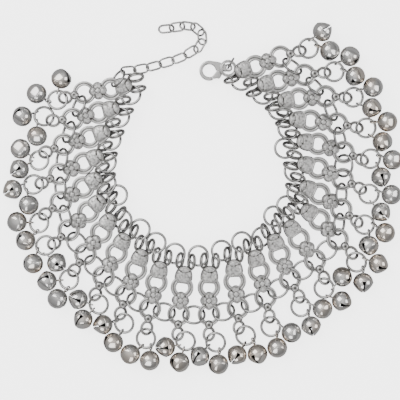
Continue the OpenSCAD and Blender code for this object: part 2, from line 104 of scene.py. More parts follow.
# Outer diameter, hole and thickness of each kind of flat ring
LEAF_RING = (6.8, 4.4, 0.45)
FLOWER_RING = (9.0, 4.6, 0.8)
BEAD_RING = (9.0, 5.5, 0.8)
END_RING = (6.1, 3.7, 0.8)
BODY_T, CROWN_R = 1.9, 10
BEAD_D = 3.5
END_ROLL, DROP_ROLL = -35, 14
RING_WIRE, DROP_WIRE = 1.04, 1.06
OUTER_ROW_D, OUTER_TILT = 8.3, 40
INNER_ROW_D, INNER_ROLL, INNER_LEAN = 7.6, 9, 24
DROP_D = 7.4
BELL_R, BELL_WALL, SEAM_LIP, SLIT_W, BELL_REACH = 3.9, 0.45, 0.12, 0.55, 5.4
BELL_Z = BELL_R + SEAM_LIP
LOOP_D, LOOP_WIRE, SHANK_D = 2.44, 0.6, 0.5
CHEEK_TURN, CHEEK_R, CHEEK_AT = 46, 7.5, 3.43
LINK_L, LINK_W, LINK_WIRE, LINK_ROLL, LINK_SPAN = 6.65, 4.3, 0.8, 28, 9.6
FIRST_LINK_Z = 4.2
END_JUMP, END_JUMP_D, END_JUMP_WIRE, END_JUMP_ROLL = (-31.9, 46.9, 4.0), 7.2, 0.9, 60
CLASP_AT, CLASP_AIM, EYE = complex(3.6, 50.2), 8, complex(7.6, 0.1)
CLASP_Z, CLASP_RING_D, CLASP_RING_WIRE, CLASP_RING_TURN = 1.5, 4.5, 0.7, 60


# Layout of the frame

def aim(degrees):
    return rect(1, math.radians(degrees))


def bearing(a, b):
    return math.degrees(phase(b - a))


def across(a, b):
    """Cross product of two directions in the plane."""
    return a.real * b.imag - a.imag * b.real


def along(a, b):
    return a.real * b.real + a.imag * b.imag


def flower_hole(i):
    return complex(STRANDS[i].bx, STRANDS[i].by)


def leaf_hole(i):
    return flower_hole(i) - SHIELD_L * aim(STRANDS[i].shield)


def bead_hole(i):
    return flower_hole(i) + FLOWER_L * aim(STRANDS[i].flower)


def end_hole(i):
    return bead_hole(i) + BEAD_L * aim(STRANDS[i].bead)


def leaf_middle(i, side):
    return leaf_hole(i) + side * LEAF_OFF * aim(STRANDS[i].shield + 90)


# Distances between middles at which rings and bells lie clear of each other
FAR = 99
OWN_RING, OTHER_RING, BELLS_APART, OWN_END = (8.3, 8.42), 8.05, 8.12, (2.6, 4.1)
RING_TO_BEAD_HOLE, TO_BEAD_HOLE, RING_TO_END, BELL_TO_END, RINGS_APART = 10.9, 8.6, 7.3, 6.95, 8.3
EASING_ROUNDS = 120


def push(p, other, least, most=FAR):
    """The step that brings p no nearer to other than least and no farther from it than most."""
    away = p - other
    gap = abs(away)
    return away / gap * (min(max(gap, least), most) - gap)


def neighbours(i):
    """The strands that lie near enough to touch strand i, with itself."""
    return range(max(0, i - 2), min(COUNT - 1, i + 2) + 1)


def eased_ring(state, i):
    """Middle of strand i's drop ring after one step of easing."""
    p, move = state[i][0], 0
    for j in neighbours(i):
        ring, u, v = state[j]
        if j == i:
            move += push(p, end_hole(j), *OWN_END) + push(p, bead_hole(j), RING_TO_BEAD_HOLE)
            move += (push(p, u, *OWN_RING) + push(p, v, *OWN_RING)) / 2
        else:
            move += push(p, end_hole(j), RING_TO_END) + push(p, bead_hole(j), TO_BEAD_HOLE)
            move += (push(p, ring, RINGS_APART) + push(p, u, OTHER_RING) + push(p, v, OTHER_RING)) / 2
    return p + move / 2


def eased_bell(state, i, k):
    """Middle of strand i's bell k, 1 or 2, after one step of easing."""
    p, move = state[i][k], 0
    for j in neighbours(i):
        ring, u, v = state[j]
        move += push(p, end_hole(j), BELL_TO_END) + push(p, bead_hole(j), TO_BEAD_HOLE)
        if j == i:
            move += (push(p, ring, *OWN_RING) + push(p, state[j][3 - k], BELLS_APART)) / 2
        else:
            move += (push(p, ring, OTHER_RING) + push(p, u, BELLS_APART) + push(p, v, BELLS_APART)) / 2
    return p + move / 2


def lying():
    """Middles of each strand's drop ring and two bells, eased apart until none bites into another."""
    state = [(complex(s.gx, s.gy), complex(s.ux, s.uy), complex(s.vx, s.vy)) for s in STRANDS]
    for _ in range(EASING_ROUNDS):
        state = [(eased_ring(state, i), eased_bell(state, i, 1), eased_bell(state, i, 2))
                 for i in range(COUNT)]
    return state


def at(point, z):
    return Vector((point.real, point.imag, z))


class Drop:
    """A drop ring and its two bells as they lie."""

    def __init__(self, i, ring, bells):
        self.middle = ring
        self.axis = bearing(end_hole(i), ring)
        self.ways = (STRANDS[i].up, STRANDS[i].vp)
        self.turns = (STRANDS[i].us, STRANDS[i].vs)
        self.bells = bells
        self.forward = at(aim(self.axis), 0)
        roll = math.radians(DROP_ROLL)
        self.sideways = at(math.cos(roll) * aim(self.axis + 90), math.sin(roll))

    def point(self, a):
        """Middle of the wire at a turn of a degrees on the ring."""
        r = math.radians(a)
        out = math.cos(r) * self.forward + math.sin(r) * self.sideways
        return at(self.middle, DROP_Z) + DROP_D / 2 * out

    def wire(self, a):
        """The way the wire runs there."""
        r = math.radians(a)
        return math.cos(r) * self.sideways - math.sin(r) * self.forward

    def hang(self, k):
        """Turn on the ring at which a bell's loop hangs, found from a first guess in a few corrections."""
        m = at(self.bells[k], BELL_Z)
        a = bearing(self.middle, self.bells[k]) - self.axis + 45 * self.ways[k]
        for _ in range(14):
            v = self.point(a) - m
            slope = v.dot(self.wire(a)) * DROP_D / 2 / v.length
            slope = math.copysign(max(0.5, abs(slope)), slope)
            a -= max(-8, min(8, math.degrees((v.length - BELL_REACH) / slope)))
        return a

    def bell_places(self):
        """Placing matrix of each bell, and its loop's turn about the bell's own axis."""
        for k in (0, 1):
            a = self.hang(k)
            n = (at(self.bells[k], BELL_Z) - self.point(a)).normalized()
            t, side = self.wire(a), Vector((-n.y, n.x, 0)).normalized()
            loop = math.degrees(math.atan2(-t.dot(side), t.dot(n.cross(side))))
            turned = turn_z(math.degrees(math.atan2(n.y, n.x))) @ turn_y(-math.degrees(math.asin(n.z)))
            stand = Matrix.Translation(self.point(a) + BELL_REACH * n) @ turned
            yield stand @ turn_x(self.turns[k]), stand @ turn_x(loop)


def turn_x(degrees):
    return Matrix.Rotation(math.radians(degrees), 4, "X")


def turn_y(degrees):
    return Matrix.Rotation(math.radians(degrees), 4, "Y")


def turn_z(degrees):
    return Matrix.Rotation(math.radians(degrees), 4, "Z")


def moved(x, y, z=0.0):
    return Matrix.Translation((x, y, z))


def place(point, degrees, z0, z1=None, length=1, roll=0):
    """Stands a link at a point, pointing along degrees and sloping from height z0 to z1 over its length."""
    slope = 0 if z1 is None else -math.degrees(math.asin((z1 - z0) / length))
    return moved(point.real, point.imag, z0) @ turn_z(degrees) @ turn_y(slope) @ turn_x(roll)


def outer_ring_places():
    for i in range(COUNT - 1):
        a, b = bead_hole(i), bead_hole(i + 1)
        steep = abs(along(b - a, aim((STRANDS[i].bead + STRANDS[i + 1].bead) / 2))) > 4.5
        tilt = OUTER_TILT + 16 if steep else -OUTER_TILT - 2
        lift, shift = (0.5, 0.5) if steep else (0, -0.25)
        yield place((a + b) / 2, bearing(a, b), BEAD_Z + lift, roll=tilt) @ moved(0, shift)


def inner_ring_places():
    for i in range(COUNT - 1):
        turn = (STRANDS[i].shield + STRANDS[i + 1].shield) / 2
        gap = leaf_middle(i + 1, -1) - leaf_middle(i, 1)
        middle = (leaf_middle(i + 1, -1) + leaf_middle(i, 1)) / 2
        ahead = along(gap, aim(turn))
        if abs(ahead) < 3.3:
            reach = math.sqrt((INNER_ROW_D / 2) ** 2 - (across(aim(turn), gap) / 2) ** 2)
            out = max(0, min(0.8, 1.4 - abs(ahead) / 2)) - reach
            roll = INNER_ROLL if i < COUNT / 2 - 1 else -INNER_ROLL
            yield place(middle + out * aim(turn), turn + 90, LEAF_Z) @ turn_y(-roll)
        else:
            way = 0 if across(gap, aim(turn)) < 0 else 180
            yield place(middle, bearing(0, gap) + way, LEAF_Z - 0.6, roll=INNER_LEAN) @ moved(0, 0.2)


def extender_places():
    heights = [FIRST_LINK_Z] + [link.z for link in EXTENDER] + [EXTENDER[-1].z]
    for k, link in enumerate(EXTENDER):
        slope = math.degrees(math.atan((heights[k] - heights[k + 2]) / LINK_SPAN))
        roll = -LINK_ROLL if k % 2 == 0 else LINK_ROLL
        yield moved(link.x, link.y, link.z) @ turn_z(link.turn) @ turn_y(slope) @ turn_x(roll)


# Finishes

def finish():
    return bpy.context.scene.anklet_finish


def add_node(tree, kind, **inputs):
    node = tree.nodes.new(kind)
    for name, value in inputs.items():
        node.inputs[name.replace("_", " ")].default_value = value
    return node


def math_node(tree, operation, a, b=None, clamp=False):
    node = tree.nodes.new("ShaderNodeMath")
    node.operation = operation
    node.use_clamp = clamp
    for socket, value in zip(node.inputs, (a, b)):
        if hasattr(value, "links"):
            tree.links.new(value, socket)
        elif value is not None:
            socket.default_value = value
    return node.outputs[0]


def blend_colours(tree, factor, first, second):
    node = tree.nodes.new("ShaderNodeMix")
    node.data_type = "RGBA"
    tree.links.new(factor, node.inputs["Factor"])
    for socket, value in ((node.inputs["A"], first), (node.inputs["B"], second)):
        if hasattr(value, "links"):
            tree.links.new(value, socket)
        else:
            socket.default_value = (*value, 1)
    return node.outputs["Result"]


def shade_and_stain_group():
    """Painted shade and patina in recesses and along edges, stains, and the fine grain and scratches of
    handled metal.
    """
    group = bpy.data.node_groups.get("metal_shade_and_stain")
    if group:
        return group
    group = bpy.data.node_groups.new("metal_shade_and_stain", "ShaderNodeTree")
    group.interface.new_socket("Place", in_out="INPUT", socket_type="NodeSocketVector")
    for name in ("Recess", "Lines", "Grain Size", "Stain"):
        group.interface.new_socket(name, in_out="INPUT", socket_type="NodeSocketFloat")
    for name in ("Shade And Tarnish", "Height", "Patch"):
        group.interface.new_socket(name, in_out="OUTPUT", socket_type="NodeSocketFloat")
    given, out = group.nodes.new("NodeGroupInput"), group.nodes.new("NodeGroupOutput")
    grain = add_node(group, "ShaderNodeTexNoise", Detail=3.0, Roughness=0.6)
    stain = add_node(group, "ShaderNodeTexNoise", Scale=700.0, Detail=4.0, Roughness=0.65)
    patch = add_node(group, "ShaderNodeTexNoise", Scale=95.0, Detail=1.0)
    for node in (grain, stain, patch):
        group.links.new(given.outputs["Place"], node.inputs["Vector"])
    group.links.new(given.outputs["Grain Size"], grain.inputs["Scale"])
    uneven = math_node(group, "SUBTRACT", stain.outputs[0], 0.42)
    spots = math_node(group, "MULTIPLY", uneven, given.outputs["Stain"])
    cut = math_node(group, "MULTIPLY", given.outputs["Lines"], 0.5)
    # The recess weight is painted shade with patina; the engraved lines and the stains darken the colour as
    # well.
    deep = math_node(group, "ADD", math_node(group, "MULTIPLY", given.outputs["Recess"], 0.95), cut)
    group.links.new(math_node(group, "ADD", deep, spots, clamp=True), out.inputs["Shade And Tarnish"])
    low = math_node(group, "MULTIPLY", given.outputs["Lines"], -1.0)
    rough = math_node(group, "MULTIPLY", grain.outputs[0], 0.35)
    group.links.new(math_node(group, "ADD", low, rough), out.inputs["Height"])
    group.links.new(patch.outputs[0], out.inputs["Patch"])
    return group


def metal(name, colour, dark, roughness, grain_size, bump, stain, lines=False, tint=None):
    """A plated metal. With lines it takes engraved lines and stipple where the piece's own UV map asks."""
    material = bpy.data.materials.get(name)
    if material:
        return material
    material = bpy.data.materials.new(name)
    material.use_nodes = True
    tree = material.node_tree
    shader = tree.nodes["Principled BSDF"]
    shader.inputs["Metallic"].default_value = 1.0
    shade_and_stain = tree.nodes.new("ShaderNodeGroup")
    shade_and_stain.node_tree = shade_and_stain_group()
    shade_and_stain.inputs["Grain Size"].default_value = grain_size
    shade_and_stain.inputs["Stain"].default_value = stain
    coords = tree.nodes.new("ShaderNodeTexCoord")
    tree.links.new(coords.outputs["Object"], shade_and_stain.inputs["Place"])
    recess = tree.nodes.new("ShaderNodeAttribute")
    recess.attribute_name = "recess"
    tree.links.new(recess.outputs["Fac"], shade_and_stain.inputs["Recess"])
    if lines:
        uv = tree.nodes.new("ShaderNodeUVMap")
        uv.uv_map = "engraving"
        split = tree.nodes.new("ShaderNodeSeparateXYZ")
        tree.links.new(uv.outputs["UV"], split.inputs[0])
        wave = math_node(tree, "SINE", math_node(tree, "MULTIPLY", split.outputs["X"], 2 * math.pi))
        fine = math_node(tree, "MULTIPLY", math_node(tree, "SUBTRACT", wave, 0.3, clamp=True), 0.35)
        beads = add_node(tree, "ShaderNodeTexVoronoi", Scale=1250.0)
        beads.feature = "SMOOTH_F1"
        tree.links.new(coords.outputs["Object"], beads.inputs["Vector"])
        gaps = math_node(tree, "SUBTRACT", beads.outputs[0], 0.34, clamp=True)
        between = math_node(tree, "MULTIPLY", gaps, 3.4)
        cut = math_node(tree, "MULTIPLY", math_node(tree, "ADD", fine, between), split.outputs["Y"])
        tree.links.new(cut, shade_and_stain.inputs["Lines"])
    base = colour
    if tint:
        share = tree.nodes.new("ShaderNodeMapRange")
        share.inputs["From Min"].default_value = 0.48
        share.inputs["From Max"].default_value = 0.62
        tree.links.new(shade_and_stain.outputs["Patch"], share.inputs["Value"])
        base = blend_colours(tree, share.outputs[0], colour, tint)
    # The dark colour comes in as painted shade and patina where the recess weight asks, and in the engraved
    # lines and stains.
    tree.links.new(blend_colours(tree, shade_and_stain.outputs["Shade And Tarnish"], base, dark), shader.inputs["Base Color"])
    dulled = math_node(tree, "MULTIPLY", shade_and_stain.outputs["Shade And Tarnish"], 0.25)
    rough = math_node(tree, "ADD", dulled, roughness, clamp=True)
    tree.links.new(rough, shader.inputs["Roughness"])
    relief = add_node(tree, "ShaderNodeBump", Strength=bump, Distance=0.00006)
    tree.links.new(shade_and_stain.outputs["Height"], relief.inputs["Height"])
    tree.links.new(relief.outputs["Normal"], shader.inputs["Normal"])
    return material


def banded_silver():
    return metal("banded_silver", finish().band, finish().shade_and_tarnish,
                 roughness=0.24, grain_size=8000, bump=0.25, stain=0.5)


def engraved_silver():
    return metal("engraved_silver", finish().silver, finish().shade_and_tarnish,
                 roughness=0.3, grain_size=7000, bump=0.9, stain=0.4, lines=True)


def bright_wire():
    return metal("bright_wire", finish().wire, finish().shade_and_tarnish,
                 roughness=0.2, grain_size=6000, bump=0.12, stain=0.4)


def polished_bell():
    # The near-black second colour is painted shade on the bells' inner walls, and the colour of their
    # stains.
    return metal("polished_bell", finish().bell, (0.035, 0.033, 0.03),
                 roughness=0.13, grain_size=2500, bump=0.05, stain=0.12, tint=finish().warm)


def satin_nickel():
    return metal("satin_nickel", finish().nickel, finish().shade_and_tarnish,
                 roughness=0.22, grain_size=5000, bump=0.12, stain=0.25)


def dark_iron():
    return metal("dark_iron", (0.12, 0.12, 0.12), (0.03, 0.025, 0.02),
                 roughness=0.55, grain_size=4000, bump=0.5, stain=0.8)


# Shapes, in mm, each made once and then placed

def new_shape():
    bm = bmesh.new()
    # recess: a weight per vertex that the materials turn into painted shade and patina.
    bm.verts.layers.float.new("recess")
    bm.loops.layers.uv.new("engraving")
    return bm


def new_verts(made):
    """The vertices among what a mesh operator has drawn."""
    return [item for item in made["geom"] if isinstance(item, bmesh.types.BMVert)]


def spun(bm, outline, steps, axis=(0, 0, 1)):
    """Spins a closed outline of (point, recess) a full turn about an axis through the middle."""
    layer = bm.verts.layers.float["recess"]
    verts = []
    for point, recess in outline:
        vert = bm.verts.new(point)
        vert[layer] = recess
        verts.append(vert)
    edges = [bm.edges.new((a, b)) for a, b in zip(verts, verts[1:] + verts[:1])]
    bmesh.ops.spin(bm, geom=verts + edges, cent=(0, 0, 0), axis=axis, angle=2 * math.pi, steps=steps,
                   use_merge=True)


def finished_shape(bm, name, sharp=38):
    """Ends a shape: faces outwards, smooth but for its sharp edges."""
    bmesh.ops.remove_doubles(bm, verts=bm.verts, dist=1e-5)
    bmesh.ops.recalc_face_normals(bm, faces=bm.faces)
    for face in bm.faces:
        face.smooth = True
    for edge in bm.edges:
        if len(edge.link_faces) == 2 and edge.calc_face_angle() > math.radians(sharp):
            edge.smooth = False
    mesh = bpy.data.meshes.new(name)
    bm.to_mesh(mesh)
    bm.free()
    return mesh


def wire_ring(name, middle_d, wire, steps=40, sides=12):
    """A ring of round wire, with painted shade toward its inner and outer sides."""
    bm = new_shape()
    outline = []
    for k in range(sides):
        turn = 2 * math.pi * k / sides
        out, up = math.cos(turn), math.sin(turn)
        point = (middle_d / 2 + wire / 2 * out, 0, wire / 2 * up)
        # The second value is painted shade, growing toward the wire's inner and outer sides.
        outline.append((point, max(0, abs(out) - 0.5) * 1.2))
    spun(bm, outline, steps)
    return finished_shape(bm, name)


# Turns across one of a stamped ring's two rounded ribs, and how deep in a recess each lies, which sets the
# painted shade and patina it takes
RIB = ((165, 1), (138, 0.7), (108, 0.1), (72, 0.1), (45, 0.8), (20, 1))


def band_ring(name, outer_d, hole_d, thick, steps=40, shade_and_patina=0.8):
    """A stamped ring of two rounded ribs with a groove between them; painted shade and patina darken the
    groove and the ring's edges.
    """
    bm = new_shape()
    hole_r, rib_r, h = hole_d / 2, (outer_d - hole_d) / 8, thick / 2
    top = []
    for t, depth in RIB:
        turn = math.radians(t)
        top.append((hole_r + rib_r + rib_r * math.cos(turn), h * math.sin(turn), depth * shade_and_patina))
    top += [(hole_r + rib_r * 4 - (r - hole_r), z, depth) for r, z, depth in reversed(top)]
    outline = top + [(r, -z, depth) for r, z, depth in reversed(top)]
    spun(bm, [((r, 0, z), depth) for r, z, depth in outline], steps)
    return finished_shape(bm, name, sharp=70)


def resampled(points, count):
    """A closed outline as evenly spaced points."""
    ends = points[1:] + points[:1]
    lengths = [abs(b - a) for a, b in zip(points, ends)]
    step, found, walked = sum(lengths) / count, [], 0
    for a, b, length in zip(points, ends, lengths):
        while len(found) * step < walked + length - 1e-9:
            found.append(a + (b - a) * (len(found) * step - walked) / length)
        walked += length
    return found[:count]


# Shares of the way out at which a plate's relief is shaped
SHARES = (1, 0.95, 0.88, 0.8, 0.72, 0.6, 0.48, 0.4, 0.32, 0.2)


def relief_plate(name, outline, centre, height, engraving):
    """A plate with the same relief on both sides.

    height takes a point and its share of the way out, and engraving takes its face's middle as well.
    """
    bm = new_shape()
    recess, uv = bm.verts.layers.float["recess"], bm.loops.layers.uv["engraving"]
    count, rings = len(outline), len(SHARES)
    bmesh.ops.create_circle(bm, cap_ends=True, segments=count, radius=rings)
    inner = bm.faces[:]
    for _ in range(rings - 1):
        bmesh.ops.inset_region(bm, faces=inner, thickness=1, use_boundary=True, use_even_offset=True)
    bmesh.ops.poke(bm, faces=inner)
    shares = {}
    for vert in bm.verts:
        ring = round(rings - vert.co.length)
        share = SHARES[ring] if ring < rings else 0
        where = math.atan2(vert.co.y, vert.co.x) / (2 * math.pi) * count
        point = centre + share * (outline[round(where) % count] - centre)
        z, depth = height(point, share)
        vert.co = at(point, z)
        vert[recess] = depth
        shares[vert] = share
    for face in bm.faces:
        middle = complex(*face.calc_center_median().xy)
        for loop in face.loops:
            point = complex(*loop.vert.co.xy)
            loop[uv].uv = engraving(point, middle, shares[loop.vert])
    copy = bmesh.ops.extrude_face_region(bm, geom=bm.faces[:])
    for vert in new_verts(copy):
        vert.co.z = -vert.co.z
    return finished_shape(bm, name, sharp=55)


def crown(y):
    """Height of a plate's domed face at y from its long axis."""
    return BODY_T / 2 - CROWN_R + math.sqrt(CROWN_R ** 2 - y * y)


def border(share, start, width, depth):
    """Depth of a groove that follows the outline at a share of the way out."""
    return depth * math.exp(-((share - start) / width) ** 2)


def rolled_edge(share):
    """How far a plate's face drops toward its rounded edge."""
    return 0.5 * max(0, share - 0.87) / 0.13


def shield_body():
    """A shield with a groove inside its border and a folded arch next to the leaf rings."""
    arc = [complex(SHIELD_L, 0) - 2.2 * aim(a) for a in range(40, -41, -10)]
    side = [(8.85, 1.9), (8.4, 2.65), (7.6, 3.3), (6.6, 3.55), (5.2, 3.4), (4.1, 3.1), (3.3, 2.7),
            (2.6, 2.1), (2.15, 1.4), (1.9, 0.7), (1.85, 0.0)]
    upper = [complex(x, y) for x, y in side]
    outline = resampled([p.conjugate() for p in arc] + upper + [p.conjugate() for p in upper[-2::-1]], 80)

    def height(point, share):
        rim = border(share, 0.8, 0.055, 0.2)
        arch = abs(point - complex(1.2, 0)) - 3.3
        fold = 0.16 * math.exp(-(arch / 0.22) ** 2) * (share < 0.86)
        edge = rolled_edge(share)
        # The border groove, the fold and the rolled edge take painted shade and patina through the recess
        # weight.
        return crown(point.imag) - rim - fold - edge, min(1, rim * 3.2 + fold * 5 + edge * 1.8)

    def engraving(point, middle, share):
        fan = math.degrees(phase(point - complex(-1.5, 0)))
        return fan / 3.1, 1.0 if share < 0.75 else 0.0

    return relief_plate("shield_body", outline, complex(5.5, 0), height, engraving)


def flower_radius(turn):
    """Distance of the flower's edge from its middle: four lobes and a small tip toward the bead."""
    petal = 0.5 + 0.5 * math.cos(4 * turn)
    tip = math.exp(-(turn / 0.35) ** 2) + math.exp(-((turn - 2 * math.pi) / 0.35) ** 2)
    return 3.08 + 0.4 * petal + 0.2 * tip


def flower_body():
    """Four lobes around a round boss, with a milled border."""
    centre = complex(5.1, 0)
    outline = [centre + rect(flower_radius(2 * math.pi * k / 80), 2 * math.pi * k / 80) for k in range(80)]

    def height(point, share):
        turn = phase(point - centre) if share > 0 else 0
        valley = (0.5 - 0.5 * math.cos(4 * turn)) ** 10 * min(1, share * 1.8) * 0.25
        boss = border(share, 0.32, 0.07, 0.2)
        edge = rolled_edge(share)
        flat = border(share, 0.8, 0.05, 0.17)
        # The valleys between the lobes, the ring round the boss, the border and the rolled edge take
        # painted shade and patina through the recess weight.
        depth = valley * 2.5 + boss * 4 + flat * 4 + edge * 1.3
        return crown(point.imag) + 0.15 * (1 - share) - valley - boss - edge - flat, min(1, depth)

    def engraving(point, middle, share):
        face_turn = phase(middle - centre)
        turn = face_turn + phase((point - centre) / rect(1, face_turn)) if share > 0 else face_turn
        return turn / (2 * math.pi) * 36, 1.0 if 0.4 < share < 0.75 else 0.3

    return relief_plate("flower_body", outline, centre, height, engraving)


def bead_ball():
    """A ball with a shallow dimple on each side."""
    bm = new_shape()
    bmesh.ops.create_uvsphere(bm, u_segments=24, v_segments=18, radius=BEAD_D / 2)
    recess = bm.verts.layers.float["recess"]
    for vert in bm.verts:
        dip = math.exp(-(vert.co.xy.length / 0.6) ** 2)
        vert.co.z -= math.copysign(0.4 * dip, vert.co.z)
        # Painted shade in the dimples and round the ball's middle, where its sides turn away.
        vert[recess] = min(1, 1.2 * dip + (abs(vert.co.z) < 0.3))
    bmesh.ops.translate(bm, verts=bm.verts, vec=(BEAD_L - END_RING[1] / 2 - BEAD_D / 2 - 0.15, 0, 0))
    return finished_shape(bm, "bead_ball")


# Faces around a bell and along it, then the ends, neck and flare of its slit
BELL_AROUND, BELL_ROWS = 60, 28
SLIT_END, SLIT_NECK, SLIT_FLARE = math.radians(84.5), 2.1, 0.95


def slit_half_width(x):
    """Half the slit's width, which flares to a triangle next to the seam."""
    if x > SLIT_NECK:
        return SLIT_W / 2
    return SLIT_W / 2 + (SLIT_FLARE - SLIT_W / 2) * (SLIT_NECK - x) / SLIT_NECK


def bell_radius(direction):
    """Distance of the shell from the middle: a ball, with two cheeks pressed flatter beside the slit."""
    found = BELL_R
    for side in (1, -1):
        cheek = at(aim(side * CHEEK_TURN), 0)
        back = CHEEK_R - CHEEK_AT
        facing = direction.dot(cheek)
        found = min(found, math.sqrt(CHEEK_R ** 2 - back ** 2 * (1 - facing ** 2)) - back * facing)
    return found


def bell_shell():
    """A hollow bell, mouth toward +x: a slit across it, pressed cheeks, a rolled seam, and painted shade on
    its inner walls.
    """
    bm = new_shape()
    recess = bm.verts.layers.float["recess"]
    bmesh.ops.create_uvsphere(bm, u_segments=BELL_AROUND, v_segments=BELL_ROWS, radius=1)
    bmesh.ops.rotate(bm, verts=bm.verts, cent=(0, 0, 0), matrix=Matrix.Rotation(math.pi / 2, 3, "X"))
    first = math.pi / BELL_ROWS
    for vert in bm.verts:
        up, around = math.asin(max(-1, min(1, vert.co.y))), math.atan2(vert.co.z, vert.co.x)
        if abs(up) > first / 2 and abs(around) < SLIT_END + 0.01:
            edge = math.asin(slit_half_width(BELL_R * math.cos(around)) / BELL_R)
            share = (abs(up) - first) / (math.pi / 2 - first)
            up = math.copysign(edge + (math.pi / 2 - edge) * share, up)
        low = math.cos(up)
        direction = Vector((low * math.cos(around), math.sin(up), low * math.sin(around)))
        vert.co = direction * bell_radius(direction)
    gone = []
    for face in bm.faces:
        c = face.calc_center_median()
        if min(abs(v.co.y) for v in face.verts) < 1e-4 and abs(math.atan2(c.z, c.x)) < SLIT_END:
            gone.append(face)
    bmesh.ops.delete(bm, geom=gone, context="FACES")
    inner = bmesh.ops.extrude_face_region(bm, geom=bm.faces[:])
    for vert in new_verts(inner):
        vert.co *= 1 - BELL_WALL / vert.co.length
        # Painted shade on the inner walls.
        vert[recess] = 1
    turns = [2 * math.pi * k / 8 for k in range(8)]
    seam = [((0.2 * math.sin(t), 0, BELL_R - 0.06 + (0.06 + SEAM_LIP) * math.cos(t)), 0) for t in turns]
    spun(bm, seam, BELL_AROUND, axis=(1, 0, 0))
    return finished_shape(bm, "bell_shell", sharp=45)


def bell_loop():
    """The wire loop at the bell's back, with its shank."""
    bm = new_shape()
    turns = [2 * math.pi * k / 10 for k in range(10)]
    circle = [((LOOP_D / 2 + LOOP_WIRE / 2 * math.cos(t), 0, LOOP_WIRE / 2 * math.sin(t)), 0)
              for t in turns]
    spun(bm, circle, 28)
    bmesh.ops.translate(bm, verts=bm.verts, vec=(-BELL_REACH, 0, 0))
    start, end = -BELL_REACH + LOOP_D / 2, -BELL_R + BELL_WALL / 2
    made = bmesh.ops.create_cone(bm, cap_ends=True, segments=14, radius1=SHANK_D * 0.62, radius2=SHANK_D,
                                 depth=end - start)
    bmesh.ops.rotate(bm, verts=made["verts"], cent=(0, 0, 0), matrix=Matrix.Rotation(math.pi / 2, 3, "Y"))
    bmesh.ops.translate(bm, verts=made["verts"], vec=((start + end) / 2, 0, 0))
    return finished_shape(bm, "bell_loop")


def extender_link():
    """An oval of wire: two half turns joined by two straight stretches."""
    bm = new_shape()
    bend, straight = (LINK_W - LINK_WIRE) / 2, LINK_L - LINK_W
    made = bmesh.ops.create_circle(bm, segments=10, radius=LINK_WIRE / 2)
    bmesh.ops.rotate(bm, verts=made["verts"], cent=(0, 0, 0), matrix=Matrix.Rotation(math.pi / 2, 3, "Y"))
    bmesh.ops.translate(bm, verts=made["verts"], vec=(straight / 2, -bend, 0))
    ring = made["verts"] + bm.edges[:]
    for side in (1, -1):
        turned = bmesh.ops.spin(bm, geom=ring, cent=(side * straight / 2, 0, 0), axis=(0, 0, 1),
                                angle=math.pi, steps=12)
        last = [g for g in turned["geom_last"] if isinstance(g, bmesh.types.BMEdge)]
        drawn = bmesh.ops.extrude_edge_only(bm, edges=last)
        verts = new_verts(drawn)
        bmesh.ops.translate(bm, verts=verts, vec=(-side * straight, 0, 0))
        ring = verts + [e for e in bm.edges if e.verts[0] in verts and e.verts[1] in verts]
    return finished_shape(bm, "extender_link")


# Pieces

def frame_matrix():
    """From the tables' own millimetres to the frame."""
    return Matrix.Scale(MM, 4) @ moved(-MIDDLE.real, -MIDDLE.imag)


def joined(name, parts, nodes, body=ANKLET):
    """One piece of many placed shapes. parts holds (shape, placing matrix in mm, material)."""
    bm = bmesh.new()
    materials = []
    for shape, matrix, material in parts:
        if material not in materials:
            materials.append(material)
        copy = shape.copy()
        copy.transform(frame_matrix() @ matrix)
        for face in copy.polygons:
            face.material_index = materials.index(material)
        bm.from_mesh(copy)
        bpy.data.meshes.remove(copy)
    mesh = bpy.data.meshes.new(name)
    bm.to_mesh(mesh)
    bm.free()
    for material in materials:
        mesh.materials.append(material)
    return settled(bpy.data.objects.new(name, mesh), nodes, body)


def settled(piece, nodes, body):
    """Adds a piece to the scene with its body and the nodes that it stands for."""
    bpy.context.scene.collection.objects.link(piece)
    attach(piece, body)
    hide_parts(*nodes)
    return piece


def rounded(piece, voxel, rounds, swell):
    """Softens the edges of a cast piece: an even mesh, smoothed, and swollen back to its size."""
    remesh = piece.modifiers.new("even_mesh", "REMESH")
    remesh.mode = "VOXEL"
    remesh.voxel_size = voxel
    remesh.use_smooth_shade = True
    smooth = piece.modifiers.new("soft_edges", "SMOOTH")
    smooth.factor = 0.6
    smooth.iterations = rounds
    swollen = piece.modifiers.new("full_size", "DISPLACE")
    swollen.strength = swell
    swollen.mid_level = 0
    bpy.context.view_layer.update()
    made = bpy.data.meshes.new_from_object(piece.evaluated_get(bpy.context.evaluated_depsgraph_get()))
    piece.modifiers.clear()
    piece.data = made
    return piece


def cast_copy(name, node, voxel, rounds, swell, tip=None):
    """A cast metal piece in the node's own form, with a tip added to it."""
    bm = bmesh.new()
    bm.from_mesh(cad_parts[node].data)
    if tip:
        bm.from_mesh(tip)
    bmesh.ops.remove_doubles(bm, verts=bm.verts, dist=1e-7)
    mesh = bpy.data.meshes.new(name)
    bm.to_mesh(mesh)
    bm.free()
    mesh.materials.clear()
    mesh.materials.append(satin_nickel())
    piece = settled(bpy.data.objects.new(name, mesh), [node], ANKLET)
    return rounded(piece, voxel, rounds, swell)


# Outline of the clasp's lever: its slanted tip, thumb tab, round end at the pin and the gate's inner side
LEVER = ((0.7, -2.48), (1.2, -3.42), (1.9, -3.42), (2.5, -3.35), (3.2, -3.65), (3.75, -3.45),
         (4.25, -2.9), (5.0, -1.8), (5.6, -0.6), (6.0, 0.2), (5.7, 0.9), (5.0, 1.2), (4.3, 0.9),
         (3.8, 0.4), (2.4, -1.0), (1.5, -1.9))
LEVER_T = 1.1

# Outline of the hook's slanted end, which leaves room for the lever's tip to swing past
HOOK_TIP = ((0.4, -3.0), (0.6, -3.74), (0.8, -3.71), (1.0, -3.66), (1.03, -3.52), (0.616, -2.8),
            (0.5, -2.75))
HOOK_TIP_T = 1.8


